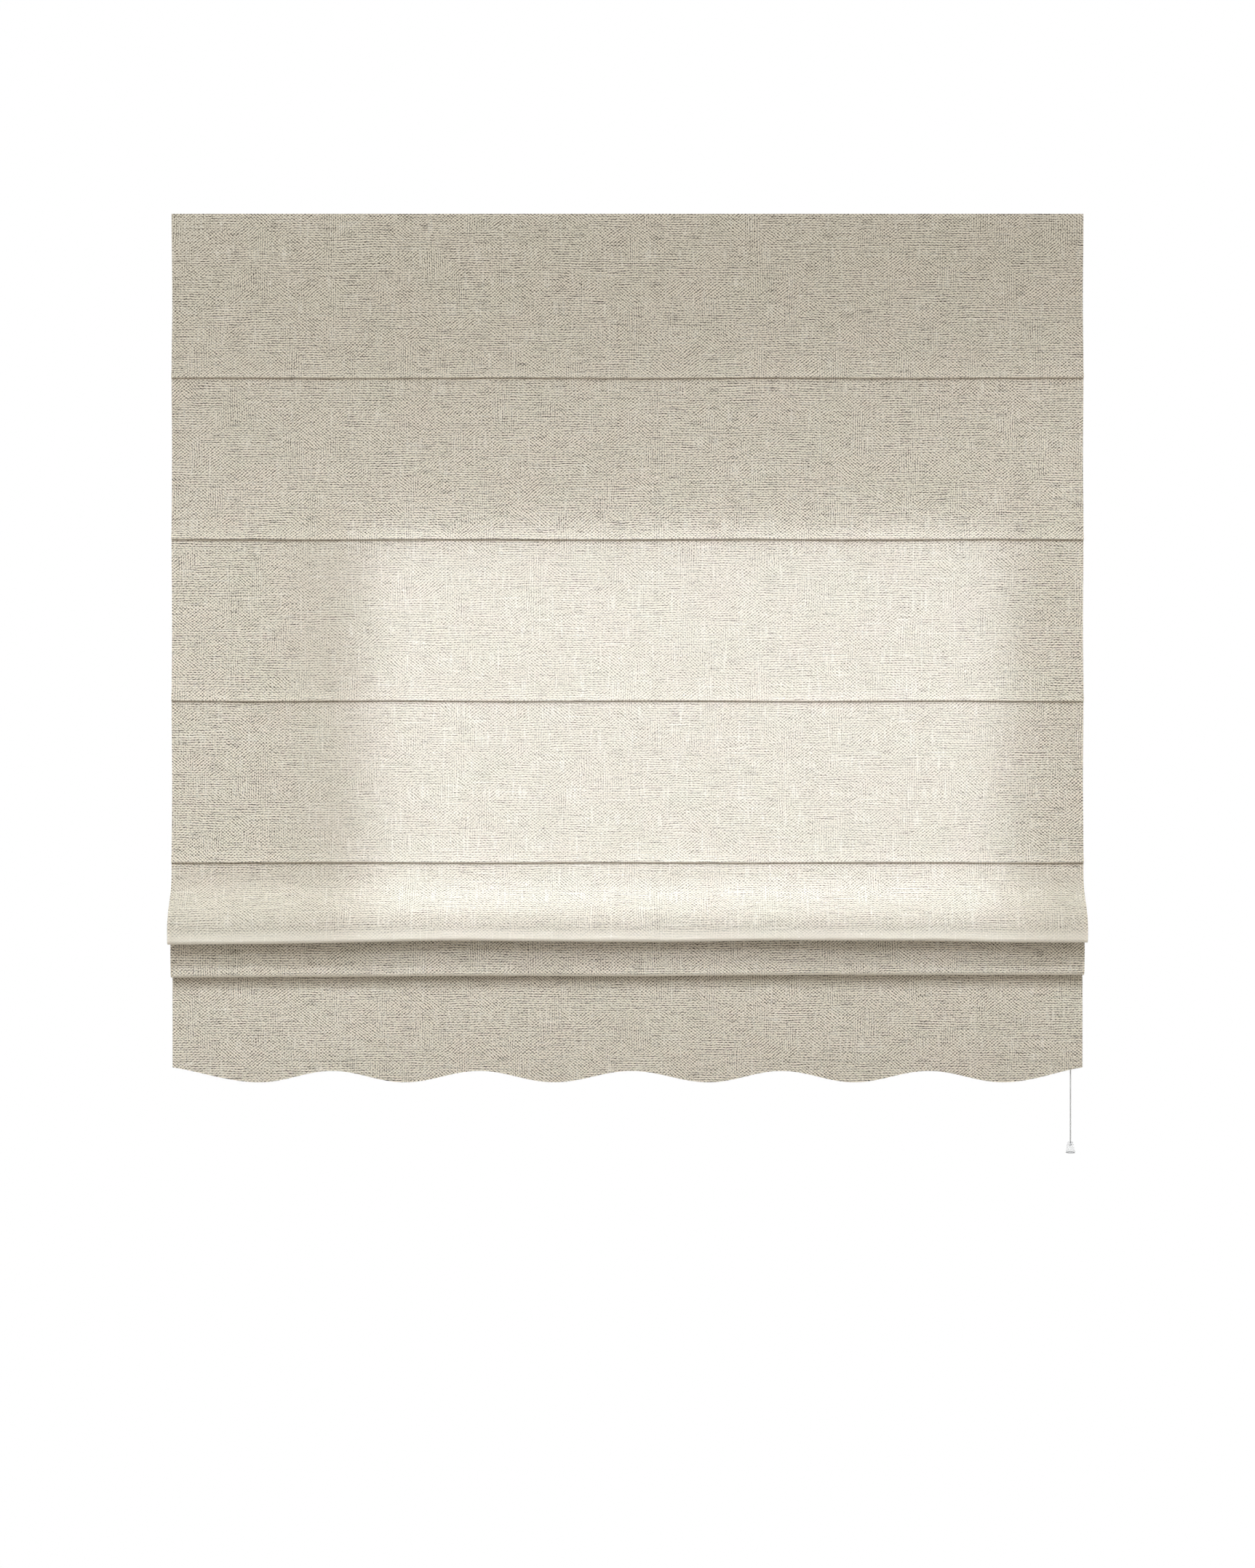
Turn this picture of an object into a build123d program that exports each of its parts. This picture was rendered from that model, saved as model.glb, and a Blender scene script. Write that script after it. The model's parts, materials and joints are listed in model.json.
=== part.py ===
from build123d import *
import math
import os

# Roman blind: +X to the right, -Y towards the room, +Z up.
# The origin lies on the wall, at the centre of the four screw holes of the two brackets.

# Fits
seat_gap = 0.2
run_gap = 0.08
pass_gap = 0.5
cut_over = 2.0
leg_share = 0.49

# Cloth: one sheet, with a tuck at each flat fold and two hanging folds below them
cloth_width = 1400.0
cloth_thick = 0.8
cloth_rise = 3.5
head_panel = 252.0
fold_pitch = 248.0
flat_folds = 4
tuck_proud = 3.0
tuck_rise = 9.0
tuck_face = 2.4
tuck_blend = 4.0
tuck_round = 1.0
crease_round = 0.8

# Front hanging fold, measured down from the last flat fold and out from the flat cloth
front_swing_top = 33.0
front_swing_drop = 32.0
front_reach = 38.0
front_swing_round = 48.0
front_drop = 119.6
front_round = 9.0

# Rear hanging fold and the two hidden folds behind it, measured the same way
hidden_fold_drop = 22.0
low_fold_drop = 90.0
crown_round = 1.7
rear_swing_top = 132.0
rear_reach = 11.0
rear_swing_round = 60.0
rear_foot_reach = 8.0
rear_drop = 173.6
rear_round = 6.0

# Scalloped hem
hem_drop = 339.2
scallop_depth = 17.7
scallop_count = 6

# Rods in their pockets, and the rings clipped round them
side_hem = 40.0
rod_r = 2.0
rod_gap = 0.3
pocket_wall = 0.6
pocket_strip = 7.0
pocket_drop = 5.0
pocket_over = 2.0
neck_length = 3.0
neck_thick = 1.2
clip_wall = 0.85
clip_gap = 0.15
clip_length = 5.0
ring_wire_r = 0.8
stop_r = 2.6
stop_height = 10.0
stop_round = 1.6

# Bottom bar and its pocket
bar_thick = 3.0
bar_height = 20.0
bar_pocket_rise = 32.0
bar_gap = 0.3

# Brackets, latches and cams
plate_thick = 2.0
bracket_width = 30.0
bracket_leg = 42.0
bracket_reach = 26.0
bracket_inset = 150.0
bend_round = 1.6
corner_round = 4.0
screw_to_top = 17.5
screw_rise = 20.0
screw_hole_r = 2.5
rail_stand_off = 1.0
stem_r = 2.5
lever_length = 19.0
lever_width = 8.0
lever_thick = 2.0
cam_length = 15.0
cam_width = 6.0
cam_thick = 2.4
rivet_r = 3.2
rivet_thick = 0.7

# Head rail, end caps and tapes
rail_depth = 26.0
rail_height = 28.0
rail_inset = 4.0
rail_wall = 1.4
rail_lip = 1.5
rail_round = 1.0
channel_width = 16.0
channel_height = 3.8
channel_mouth = 8.0
rail_mouth = 14.0
cap_plate = 3.0
cap_plug = 8.0
cap_plug_wall = 1.6
tape_width = 24.0
hook_thick = 1.2
loop_thick = 1.6

# Pulleys and cords
cord_r = 0.8
cord_inset = 100.0
lane_gap = 2.8
groove_r = 4.5
groove_gap = 0.15
wheel_r = 5.5
wheel_width = 2.8
axle_r = 1.2
base_length = 30.0
base_width = 20.0
base_thick = 2.0
base_round = 2.0
nose_length = 16.0
nose_drop = 3.0
cheek_thick = 1.3
cheek_gap = 0.3
cheek_round = 2.6
cord_hole_r = 1.6
knot_r = 1.8

# Cord lock
tail_inset = 17.0
lock_wall = 1.6
lock_length = 23.0
lock_drop = 16.0
drum_length = 9.0
roller_r = 2.2
roller_pin_r = 1.0
roller_gap = 0.15
roller_drop = 14.0
roller_travel = 4.0
roller_way = Vector(-0.6, 0, 0.8)

# Joiner, pull cord and bell
joiner_drop = 540.0
joiner_r = 6.0
joiner_height = 24.0
joiner_round = 2.5
socket_depth = 8.0
socket_gap = 0.1
pull_r = 1.05
pull_length = 864.0
pull_knot_r = 2.4
bell_height = 16.5
bell_foot_r = 7.5
bell_top_r = 4.4
bell_wall = 1.2
bell_round = 0.55

# Places that follow from the sizes
half_width = cloth_width / 2
rail_back = -(plate_thick + rail_stand_off)
rail_mid = rail_back - rail_depth / 2
rail_front = rail_back - rail_depth
rail_top = screw_to_top - plate_thick - seat_gap
rail_foot = rail_top - rail_height
rail_half = half_width - rail_inset
channel_top = rail_top - rail_lip
channel_floor = channel_top - channel_height
chamber_top = channel_floor - rail_wall
chamber_floor = rail_foot + rail_lip
chamber_width = rail_depth - 2 * rail_wall
hook_face = rail_front - hook_thick
loop_face = hook_face - loop_thick
cloth_mid = loop_face - cloth_thick / 2
cloth_top = screw_to_top + cloth_rise
last_fold = head_panel + (flat_folds - 1) * fold_pitch
tunnel_r = rod_r + rod_gap + pocket_wall
rod_stand = pocket_wall + neck_length + tunnel_r
rod_y = loop_face + rod_stand
clip_r = tunnel_r + clip_gap + clip_wall
skirt_mid = rod_y + crown_round
skirt_back = skirt_mid + cloth_thick / 2
hem_low = last_fold + hem_drop
wrap_r = groove_r + groove_gap + cord_r
base_under = chamber_floor + seat_gap
base_top = base_under + base_thick
axle_z = base_top + pass_gap + wheel_r
run_z = axle_z + wrap_r
tail_x = half_width - tail_inset
drum_x = tail_x - wrap_r
joiner_top = cloth_top - joiner_drop
joiner_foot = joiner_top - joiner_height
bell_top = joiner_foot - pull_length
columns = ("left", "mid", "right")
column_shares = (-1, 0, 1)
cord_x = {name: share * (half_width - cord_inset) for name, share in zip(columns, column_shares)}
lane_y = {name: rail_mid + share * lane_gap for name, share in zip(columns, column_shares)}
rows = range(1, flat_folds + 3)


# A flat outline drawn in Y and Z, drawn out along X from a start
def bar_along(outline, start, length):
    return extrude(Plane.YZ.offset(start) * outline, amount=length)


# A flat outline drawn in X and Z, given thickness forwards from its back face
def upright(outline, back, thick):
    return extrude(Plane.XZ.offset(-back) * outline, amount=thick)


# A flat outline drawn in X and Y, given thickness upwards from its foot
def slab(outline, foot, thick):
    return extrude(Plane.XY.offset(foot) * outline, amount=thick)


# A round bar along Y, centred on a point
def cross_bar(x, y, z, radius, length):
    return Pos(x, y, z) * Rot(90, 0, 0) * Cylinder(radius, length)


# A round bar along Z between two heights
def post(x, y, foot, top, radius):
    return Pos(x, y, (foot + top) / 2) * Cylinder(radius, top - foot)


# Straight and round pieces through corners (u, v, round), shifted to one side of the line.
# Each round is limited to what the shorter of its two legs leaves room for.
def run_edges(corners, place, shift=0):
    points = [Vector(u, v) for u, v, _ in corners]
    legs = [after - before for before, after in zip(points, points[1:])]
    ways = [leg.normalized() for leg in legs]
    sides = [Vector(-way.Y, way.X) for way in ways]
    edges = []
    pen = points[0] + sides[0] * shift
    for i in range(1, len(points) - 1):
        way, way_on = ways[i - 1], ways[i]
        turn = math.atan2(way.X * way_on.Y - way.Y * way_on.X, way.dot(way_on))
        bend = math.copysign(1, turn)
        half_turn = math.tan(abs(turn) / 2)
        room = leg_share * min(legs[i - 1].length, legs[i].length) / half_turn
        radius = min(corners[i][2], room)
        start = points[i] - way * (radius * half_turn)
        end = points[i] + way_on * (radius * half_turn)
        centre = start + sides[i - 1] * (radius * bend)
        middle = centre + (points[i] - centre).normalized() * (radius - bend * shift)
        first = start + sides[i - 1] * shift
        last = end + sides[i] * shift
        edges.append(Line(place(pen), place(first)))
        edges.append(ThreePointArc(place(first), place(middle), place(last)))
        pen = last
    edges.append(Line(place(pen), place(points[-1] + sides[-1] * shift)))
    return edges


# The section of a bent sheet: the same run on both sides of its middle line, closed at the ends
def sheet_section(corners, thick, place):
    near = run_edges(corners, place, thick / 2)
    far = run_edges(corners, place, -thick / 2)
    ends = [Line(near[0] @ 0, far[0] @ 0), Line(near[-1] @ 1, far[-1] @ 1)]
    return make_face(near + far + ends)


# Extruded rail: a top channel for the cams, a chamber for the pulleys and a mouth along the foot
def head_rail():
    outline = Pos(rail_mid, (rail_top + rail_foot) / 2) * RectangleRounded(rail_depth, rail_height, rail_round)
    chamber_mid = (chamber_top + chamber_floor) / 2
    outline -= Pos(rail_mid, chamber_mid) * Rectangle(chamber_width, chamber_top - chamber_floor)
    outline -= Pos(rail_mid, (channel_top + channel_floor) / 2) * Rectangle(channel_width, channel_height)
    outline -= Pos(rail_mid, rail_top) * Rectangle(channel_mouth, 2 * rail_lip + cut_over)
    outline -= Pos(rail_mid, rail_foot) * Rectangle(rail_mouth, 2 * rail_lip + cut_over)
    return bar_along(outline, -rail_half, 2 * rail_half)


# Right end cap: a plate over the rail's end and a hollow plug in its chamber
def end_cap():
    rail_middle = (rail_top + rail_foot) / 2
    outline = Pos(rail_mid, rail_middle) * RectangleRounded(rail_depth, rail_height, rail_round)
    plate = bar_along(outline, rail_half, cap_plate)
    plate = fillet(plate.faces().sort_by(Axis.X)[-1].edges(), rail_round / 2)
    plug_width = chamber_width - 2 * seat_gap
    plug_height = chamber_top - chamber_floor - 2 * seat_gap
    chamber_mid = (chamber_top + chamber_floor) / 2
    plug = Rectangle(plug_width, plug_height)
    plug -= Rectangle(plug_width - 2 * cap_plug_wall, plug_height - 2 * cap_plug_wall)
    return plate + bar_along(Pos(rail_mid, chamber_mid) * plug, rail_half - cap_plug, cap_plug)


# A strip of tape across the rail's front
def tape(back, thick, inset):
    tape_mid = (rail_top + rail_foot) / 2
    half = half_width - inset
    return bar_along(Pos(back - thick / 2, tape_mid) * Rectangle(thick, tape_width), -half, 2 * half)


# Bent steel plate: a wall leg with two screw holes, and a leg over the rail with the stem's hole
def bracket(x):
    leg_mid = -plate_thick / 2
    over_mid = screw_to_top - plate_thick / 2
    corners = [
        (leg_mid, screw_to_top - bracket_leg, 0),
        (leg_mid, over_mid, bend_round),
        (-bracket_reach, over_mid, 0),
    ]
    start = x - bracket_width / 2
    section = sheet_section(corners, plate_thick, lambda p: Vector(start, p.X, p.Y))
    plate = extrude(section, amount=bracket_width, dir=(1, 0, 0))
    short = plate.edges().filter_by(lambda edge: edge.length < 1.5 * plate_thick)
    plate = fillet(short.filter_by(Axis.Y) + short.filter_by(Axis.Z), corner_round)
    for share in (-1, 1):
        plate -= cross_bar(x, leg_mid, share * screw_rise / 2, screw_hole_r, plate_thick + cut_over)
    return plate - post(x, rail_mid, over_mid - plate_thick, over_mid + plate_thick, stem_r + run_gap)


# Swivel latch: a lever above the bracket, its stem, and the riveted head below the cam
def latch(x):
    lever_foot = screw_to_top + seat_gap
    cam_foot = channel_top - seat_gap - cam_thick
    outline = SlotOverall(lever_length, lever_width)
    lever = slab(Pos(x + (lever_length - lever_width) / 2, rail_mid) * outline, lever_foot, lever_thick)
    lever = fillet(lever.faces().sort_by(Axis.Z)[-1].edges(), lever_thick / 4)
    stem = post(x, rail_mid, cam_foot, lever_foot + lever_thick / 2, stem_r)
    return lever + stem + post(x, rail_mid, cam_foot - rivet_thick, cam_foot, rivet_r)


# Cam under the channel's lips, round at both ends, with the stem through it
def cam(x):
    cam_foot = channel_top - seat_gap - cam_thick
    outline = Rot(0, 0, 90) * SlotOverall(cam_length, cam_width) - Circle(stem_r)
    return slab(Pos(x, rail_mid) * outline, cam_foot, cam_thick)


# Base that rests on the rail's lips, with a nose in the mouth and a hole for each cord that drops here
def rail_base(x, length, holes):
    outline = Pos(x, rail_mid) * RectangleRounded(length, base_width, base_round)
    nose_outline = Pos(x, rail_mid) * RectangleRounded(
        min(nose_length, length), rail_mouth - 2 * seat_gap, base_round
    )
    base = slab(outline, base_under, base_thick) + slab(nose_outline, base_under - nose_drop, nose_drop)
    for hole in holes:
        base -= hole
    return base


# A cheek round the axle, standing on the base
def cheek(x, back, thick):
    foot = base_top - base_thick / 2
    outline = Pos(x, axle_z) * Circle(cheek_round)
    outline += Pos(x, (axle_z + foot) / 2) * Rectangle(2 * cheek_round, axle_z - foot)
    outline -= Pos(x, axle_z) * Circle(axle_r)
    return upright(outline, back, thick)


# Pulley block: a base with a cord hole and two cheeks beside the wheel
def pulley_block(name):
    x = cord_x[name] + wrap_r
    y = lane_y[name]
    hole = post(cord_x[name], y, base_under - nose_drop - cut_over, base_top + cut_over, cord_hole_r)
    block = rail_base(x, base_length, [hole])
    inner = wheel_width / 2 + cheek_gap
    block += cheek(x, y - inner, cheek_thick)
    return block + cheek(x, y + inner + cheek_thick, cheek_thick)


# Grooved wheel on its axle
def pulley_wheel(name):
    wheel = Cylinder(wheel_r, wheel_width)
    wheel -= Torus(wrap_r, cord_r + groove_gap)
    wheel -= Cylinder(axle_r + run_gap, wheel_width + cut_over)
    return Pos(cord_x[name] + wrap_r, lane_y[name], axle_z) * Rot(90, 0, 0) * wheel


# Axle flush with the outer faces of its cheeks
def pulley_axle(name):
    length = wheel_width + 2 * (cheek_gap + cheek_thick)
    return cross_bar(cord_x[name] + wrap_r, lane_y[name], axle_z, axle_r, length)


# Where the locking roller's middle rests, beside the cords that come down
roller_rest = Vector(tail_x - cord_r - roller_gap - roller_r, rail_mid, base_under - roller_drop + roller_r)


# Cord lock: two cheeks through the mouth, a base on the lips, and a wall behind the cords
def lock_body():
    foot = base_under - lock_drop
    right = tail_x + cord_r + roller_gap + lock_wall
    left = right - lock_length
    middle = (left + right) / 2
    inner = drum_length / 2 + cheek_gap
    base = rail_base(middle, lock_length, [])
    window = Pos(middle, rail_mid) * Rectangle(lock_length - 2 * lock_wall, 2 * inner)
    base -= slab(window, base_under - nose_drop - cut_over, nose_drop + base_thick + 2 * cut_over)
    cheek_top = base_top - base_thick / 2
    outline = Pos(middle, (foot + cheek_top) / 2) * RectangleRounded(lock_length, cheek_top - foot, base_round)
    slot_middle = roller_rest + roller_way * (roller_travel / 2)
    slot = SlotCenterToCenter(roller_travel, 2 * (roller_pin_r + roller_gap))
    slot_turn = math.degrees(math.atan2(roller_way.Z, roller_way.X))
    outline -= Pos(slot_middle.X, slot_middle.Z) * Rot(0, 0, slot_turn) * slot
    body = base
    for back in (rail_mid - inner, rail_mid + inner + cheek_thick):
        body += upright(outline, back, cheek_thick)
        body += cheek(drum_x, back, cheek_thick)
    wall = Pos(right - lock_wall / 2, rail_mid) * Rectangle(lock_wall, 2 * inner + cheek_thick)
    return body + slab(wall, foot + base_round, cheek_top - foot - base_round)


# Drum that turns the cords down, and the axle it runs on
def lock_drum():
    drum = cross_bar(drum_x, rail_mid, axle_z, groove_r, drum_length)
    return drum - cross_bar(drum_x, rail_mid, axle_z, axle_r + run_gap, drum_length + cut_over)


def lock_axle():
    return cross_bar(drum_x, rail_mid, axle_z, axle_r, drum_length + 2 * (cheek_gap + cheek_thick))


# Locking roller with a pin at each end, which runs in the slanted slots of the cheeks
def lock_roller():
    x, y, z = roller_rest.X, roller_rest.Y, roller_rest.Z
    roller = cross_bar(x, y, z, roller_r, drum_length)
    roller = fillet(roller.edges().filter_by(GeomType.CIRCLE), roller_gap)
    return roller + cross_bar(x, y, z, roller_pin_r, drum_length + 2 * (cheek_gap + cheek_thick))


# One lift cord: up from its knot, over its wheel, along the rail, over the drum and down to the joiner
def lift_cord(name):
    y = lane_y[name]
    knot_z = stop_foot() - knot_r - seat_gap
    corners = [
        (cord_x[name], knot_z, 0),
        (cord_x[name], run_z, wrap_r),
        (tail_x, run_z, wrap_r),
        (tail_x, joiner_top - socket_depth + socket_gap, 0),
    ]
    path = Wire(run_edges(corners, lambda p: Vector(p.X, y, p.Y)))
    cord = sweep(Plane(path @ 0, z_dir=path % 0) * Circle(cord_r), path=path)
    return cord + Pos(cord_x[name], y, knot_z) * Sphere(knot_r)


# The cloth's middle line from its top edge down, as corners (y, z, round)
def cloth_corners():
    corners = [(cloth_mid, 0, 0)]
    for fold in range(flat_folds):
        drop = head_panel + fold * fold_pitch
        corners += [
            (cloth_mid, drop - tuck_rise, tuck_blend),
            (cloth_mid - tuck_proud, drop - tuck_face, tuck_blend),
            (cloth_mid - tuck_proud, drop, tuck_round),
            (cloth_mid, drop, crease_round),
        ]
    out = cloth_mid - front_reach
    swing = last_fold + front_swing_top
    foot = cloth_mid - rear_foot_reach
    front = rod_y - crown_round
    corners += [
        (cloth_mid, swing, front_swing_round),
        (out, swing + front_swing_drop, front_swing_round),
        (out, last_fold + front_drop, front_round),
        (out + 2 * front_round, last_fold + front_drop, front_round),
        (front, last_fold + hidden_fold_drop, crown_round),
        (skirt_mid, last_fold + hidden_fold_drop, crown_round),
        (cloth_mid - rear_reach, last_fold + rear_swing_top, rear_swing_round),
        (foot, last_fold + rear_drop, rear_round),
        (foot + 2 * rear_round, last_fold + rear_drop, rear_round),
        (front, last_fold + low_fold_drop, crown_round),
        (skirt_mid, last_fold + low_fold_drop, crown_round),
        (skirt_mid, hem_low + cut_over, 0),
    ]
    return [(y, cloth_top - drop, size) for y, drop, size in corners]


# The scalloped edge as a chain of tangent arcs, each a quarter wave to either side of a crest or a dip
def scallop_edges(place):
    quarter = cloth_width / scallop_count / 4
    swing = scallop_depth / 2
    middle = cloth_top - hem_low + swing
    arc_r = (quarter**2 + swing**2) / (2 * swing)
    end_sag = arc_r - math.sqrt(arc_r**2 - (quarter / 2) ** 2)
    edges = []
    for end in (-1, 1):
        edge_x = end * half_width
        tip = place(edge_x, middle + swing)
        bend = place(edge_x - end * quarter / 2, middle + swing - end_sag)
        edges.append(ThreePointArc(tip, bend, place(edge_x - end * quarter, middle)))
    for i in range(2 * scallop_count - 1):
        left = -half_width + quarter * (2 * i + 1)
        height = middle - swing if i % 2 == 0 else middle + swing
        edges.append(
            ThreePointArc(place(left, middle), place(left + quarter, height), place(left + 2 * quarter, middle))
        )
    return edges


# The sheet drawn out across the width, with the scallops cut from its lowest panel
def fabric():
    section = sheet_section(cloth_corners(), cloth_thick, lambda p: Vector(-half_width, p.X, p.Y))
    sheet = extrude(section, amount=cloth_width, dir=(1, 0, 0))
    back = skirt_back + cut_over
    top = cloth_top - hem_low + scallop_depth
    foot = cloth_top - hem_low - 2 * cut_over
    left, right = -half_width, half_width

    def place(x, z):
        return Vector(x, back, z)

    edges = scallop_edges(place)
    edges.append(Line(place(left, top), place(left, foot)))
    edges.append(Line(place(left, foot), place(right, foot)))
    edges.append(Line(place(right, foot), place(right, top)))
    waste = extrude(make_face(edges), amount=cloth_thick + 2 * cut_over, dir=(0, -1, 0))
    return sheet - waste


# Middle of a row's rod: behind its fold on the flat cloth, above the fold in the two hidden ones
def rod_z(row):
    if row <= flat_folds:
        return cloth_top - head_panel - (row - 1) * fold_pitch - pocket_drop
    drop = hidden_fold_drop if row == flat_folds + 1 else low_fold_drop
    return cloth_top - last_fold - drop + cloth_thick / 2 + rod_stand


# Turn of a row's pocket in the Y-Z plane: back from the flat cloth, or up from a hidden fold
def row_turn(row):
    return Rot(0, 0, 0 if row <= flat_folds else 90)


def rod(row):
    half = half_width - side_hem
    return bar_along(Pos(rod_y, rod_z(row)) * Circle(rod_r), -half, 2 * half)


# Pocket tape: a strip against the cloth, a stitched neck and a tunnel round the rod
def rod_pocket(row):
    strip = Pos(pocket_wall / 2 - rod_stand, 0) * Rectangle(pocket_wall, pocket_strip)
    neck = Pos(-tunnel_r - neck_length / 2, 0) * Rectangle(neck_length + pocket_wall, neck_thick)
    outline = strip + neck + Circle(tunnel_r) - Circle(tunnel_r - pocket_wall)
    half = half_width - side_hem + pocket_over
    return bar_along(Pos(rod_y, rod_z(row)) * row_turn(row) * outline, -half, 2 * half)


# Three clips round the tunnel, open at its neck, each with a flat ring for its cord
def ring_row(row):
    slit = Pos(-clip_r, 0) * Rectangle(2 * clip_r, neck_thick + 2 * pass_gap)
    outline = Circle(clip_r) - Circle(clip_r - clip_wall) - slit
    outline = Pos(rod_y, rod_z(row)) * row_turn(row) * outline
    ring_r = rail_mid - rod_y - clip_r - ring_wire_r / 2
    rings = []
    for name in columns:
        clip = bar_along(outline, cord_x[name] - clip_length / 2, clip_length)
        rings.append(clip + Pos(cord_x[name], rail_mid, rod_z(row)) * Torus(ring_r, ring_wire_r))
    return Compound(children=rings)


# Foot of the cord stops, which hang just under the lowest rings
def stop_foot():
    return rod_z(rows[-1]) - ring_wire_r - seat_gap - stop_height


def cord_stops():
    stops = []
    for name in columns:
        bead = fillet(Cylinder(stop_r, stop_height).edges().filter_by(GeomType.CIRCLE), stop_round)
        bead -= Cylinder(cord_r + socket_gap, stop_height + cut_over)
        stops.append(Pos(cord_x[name], lane_y[name], stop_foot() + stop_height / 2) * bead)
    return Compound(children=stops)


# Flat bar near the hem, in a pocket sewn to the cloth's back
def bar_outline(grow):
    inside = bar_thick + 2 * bar_gap
    middle_y = skirt_back + pocket_wall + inside / 2
    middle_z = cloth_top - hem_low + bar_pocket_rise + pocket_wall + bar_gap + bar_height / 2
    return Pos(middle_y, middle_z) * Rectangle(bar_thick + 2 * grow, bar_height + 2 * grow)


def bottom_bar():
    half = half_width - side_hem
    return bar_along(bar_outline(0), -half, 2 * half)


def bar_pocket():
    half = half_width - side_hem + pocket_over
    return bar_along(bar_outline(bar_gap + pocket_wall) - bar_outline(bar_gap), -half, 2 * half)


# Barrel that joins the three lift cords to the pull cord
def cord_joiner():
    barrel = fillet(Cylinder(joiner_r, joiner_height).edges().filter_by(GeomType.CIRCLE), joiner_round)
    barrel = Pos(tail_x, rail_mid, (joiner_top + joiner_foot) / 2) * barrel
    for name in columns:
        socket_foot = joiner_top - socket_depth
        barrel -= post(tail_x, lane_y[name], socket_foot, joiner_top + cut_over, cord_r + socket_gap)
    return barrel - post(
        tail_x, rail_mid, joiner_foot - cut_over, joiner_foot + socket_depth, pull_r + socket_gap
    )


# Pull cord from the joiner's socket to its knot under the bell's crown
def pull_cord():
    knot_z = bell_top - bell_wall - pull_knot_r - seat_gap
    cord = post(tail_x, rail_mid, knot_z, joiner_foot + socket_depth - socket_gap, pull_r)
    return cord + Pos(tail_x, rail_mid, knot_z) * Sphere(pull_knot_r)


# Hollow bell, open below, with a hole in its crown for the cord
def pull_bell():
    bell = Cone(bell_foot_r, bell_top_r, bell_height)
    bell = fillet(bell.edges().filter_by(GeomType.CIRCLE), bell_round)
    hollow = Cone(bell_foot_r - bell_wall, bell_top_r - bell_wall, bell_height - bell_wall)
    bell -= Pos(0, 0, -bell_wall / 2) * hollow
    bell -= Cylinder(pull_r + socket_gap, bell_height + cut_over)
    return Pos(tail_x, rail_mid, bell_top - bell_height / 2) * bell


# Every piece under its own name
def blind_pieces():
    bracket_x = half_width - bracket_inset
    pieces = {"head_rail": head_rail()}
    pieces["end_cap_right"] = end_cap()
    pieces["end_cap_left"] = mirror(end_cap(), about=Plane.YZ)
    pieces["hook_tape"] = tape(rail_front, hook_thick, rail_inset)
    pieces["loop_tape"] = tape(hook_face, loop_thick, rail_inset)
    for side, x in (("left", -bracket_x), ("right", bracket_x)):
        pieces[f"bracket_{side}"] = bracket(x)
        pieces[f"latch_{side}"] = latch(x)
        pieces[f"cam_{side}"] = cam(x)
    for name in columns:
        pieces[f"pulley_block_{name}"] = pulley_block(name)
        pieces[f"pulley_wheel_{name}"] = pulley_wheel(name)
        pieces[f"lift_cord_{name}"] = lift_cord(name)
    pieces["pulley_axles"] = Compound(children=[pulley_axle(name) for name in columns])
    pieces["lock_body"] = lock_body()
    pieces["lock_drum"] = lock_drum()
    pieces["lock_axle"] = lock_axle()
    pieces["lock_roller"] = lock_roller()
    pieces["fabric"] = fabric()
    for row in rows:
        pieces[f"rod_{row}"] = rod(row)
        pieces[f"rod_pocket_{row}"] = rod_pocket(row)
        pieces[f"ring_row_{row}"] = ring_row(row)
    pieces["cord_stops"] = cord_stops()
    pieces["bottom_bar"] = bottom_bar()
    pieces["bar_pocket"] = bar_pocket()
    pieces["cord_joiner"] = cord_joiner()
    pieces["pull_cord"] = pull_cord()
    pieces["pull_bell"] = pull_bell()
    return pieces


os.makedirs("parts", exist_ok=True)
for piece_name, piece in blind_pieces().items():
    export_step(piece, f"parts/{piece_name}.step")
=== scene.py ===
import json
import math

import bpy
import numpy as np
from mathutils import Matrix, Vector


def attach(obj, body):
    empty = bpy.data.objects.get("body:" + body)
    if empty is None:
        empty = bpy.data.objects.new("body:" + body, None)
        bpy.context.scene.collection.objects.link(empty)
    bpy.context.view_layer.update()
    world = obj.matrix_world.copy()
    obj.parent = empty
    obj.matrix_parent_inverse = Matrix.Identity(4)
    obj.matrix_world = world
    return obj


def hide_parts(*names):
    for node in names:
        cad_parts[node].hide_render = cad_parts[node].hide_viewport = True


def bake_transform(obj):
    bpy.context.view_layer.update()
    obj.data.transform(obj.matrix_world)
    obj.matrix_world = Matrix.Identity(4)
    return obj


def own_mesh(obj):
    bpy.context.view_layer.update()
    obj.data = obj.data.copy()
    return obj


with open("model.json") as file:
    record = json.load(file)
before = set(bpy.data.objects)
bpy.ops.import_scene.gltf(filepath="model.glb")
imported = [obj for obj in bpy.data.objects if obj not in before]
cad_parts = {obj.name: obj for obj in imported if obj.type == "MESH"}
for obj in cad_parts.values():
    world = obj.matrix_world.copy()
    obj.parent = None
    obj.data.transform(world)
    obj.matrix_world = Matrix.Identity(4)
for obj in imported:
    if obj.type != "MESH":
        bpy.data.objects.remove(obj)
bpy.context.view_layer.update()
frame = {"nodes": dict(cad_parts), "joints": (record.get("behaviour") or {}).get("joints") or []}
nodes = frame["nodes"]
columns = ("left", "mid", "right")
rows = range(1, 7)
print("frame loaded,", len(nodes), "nodes")


# A screen colour, 0 to 255, as the shader's own linear colour
def screenColour(red, green, blue):
    share = np.array([red, green, blue]) / 255
    linear = np.where(share <= 0.04045, share / 12.92, ((share + 0.055) / 1.055) ** 2.4)
    return (*linear.tolist(), 1.0)


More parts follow.
